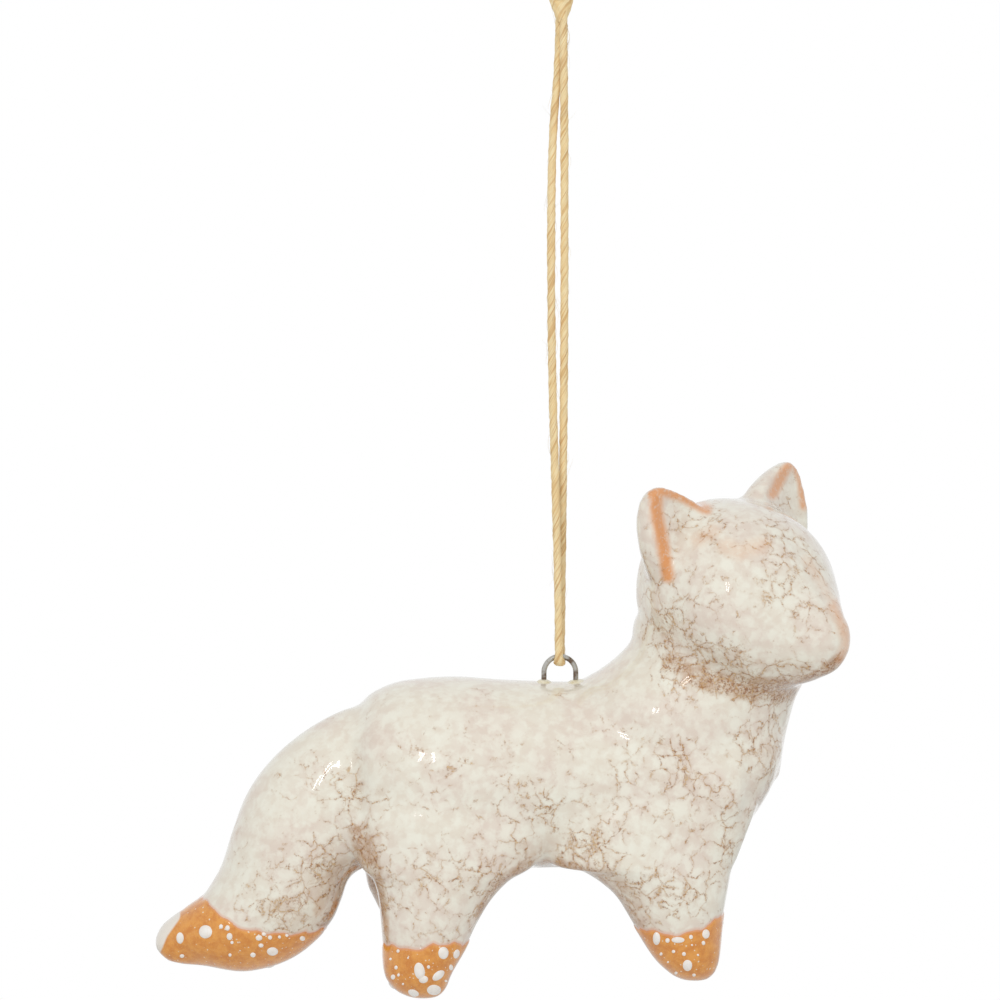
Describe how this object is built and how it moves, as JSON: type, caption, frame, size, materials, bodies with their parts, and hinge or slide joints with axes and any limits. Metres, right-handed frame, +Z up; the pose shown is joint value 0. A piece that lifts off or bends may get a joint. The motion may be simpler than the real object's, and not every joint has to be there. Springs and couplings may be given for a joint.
{
  "type": "hanging ornament",
  "caption": "Hanging glazed ceramic fox with its head turned to its right, amber feet and tail tip, a wire eye in the back and a knotted loop of natural twine.",
  "frame": {"origin": "under the knot, where the two strands of the loop part over the hook or twig that carries it", "axes": "+X the way the fox walks, +Y the fox's left side, +Z up"},
  "size_m": [0.0998, 0.0322, 0.1543],
  "materials": {
    "cream_glaze": "gloss",
    "amber_glaze": "gloss",
    "eye_wire": "satin",
    "twine": "matte"
  },
  "bodies": {
    "hanger": {"twine_left_strand": "twine", "twine_right_strand": "twine", "twine_knot": "twine", "twine_end_left": "twine", "twine_end_right": "twine"},
    "bight": {"twine_bight": "twine"},
    "fox": {"ceramic_casting": "cream_glaze", "wire_eye": "eye_wire", "amber_glaze_hind_left": "amber_glaze", "amber_glaze_hind_right": "amber_glaze", "amber_glaze_front_left": "amber_glaze", "amber_glaze_front_right": "amber_glaze", "amber_glaze_tail": "amber_glaze"}
  },
  "joints": [
    {"name": "twine_twist", "type": "hinge", "parent": "hanger", "child": "bight", "pos_m": [0, 0, -0.091], "axis": [0, 0, 1], "continuous": true},
    {"name": "fox_swing", "type": "hinge", "parent": "bight", "child": "fox", "pos_m": [0, 0, -0.0934], "axis": [1, 0, 0], "range_deg": [-90, 90]}
  ]
}
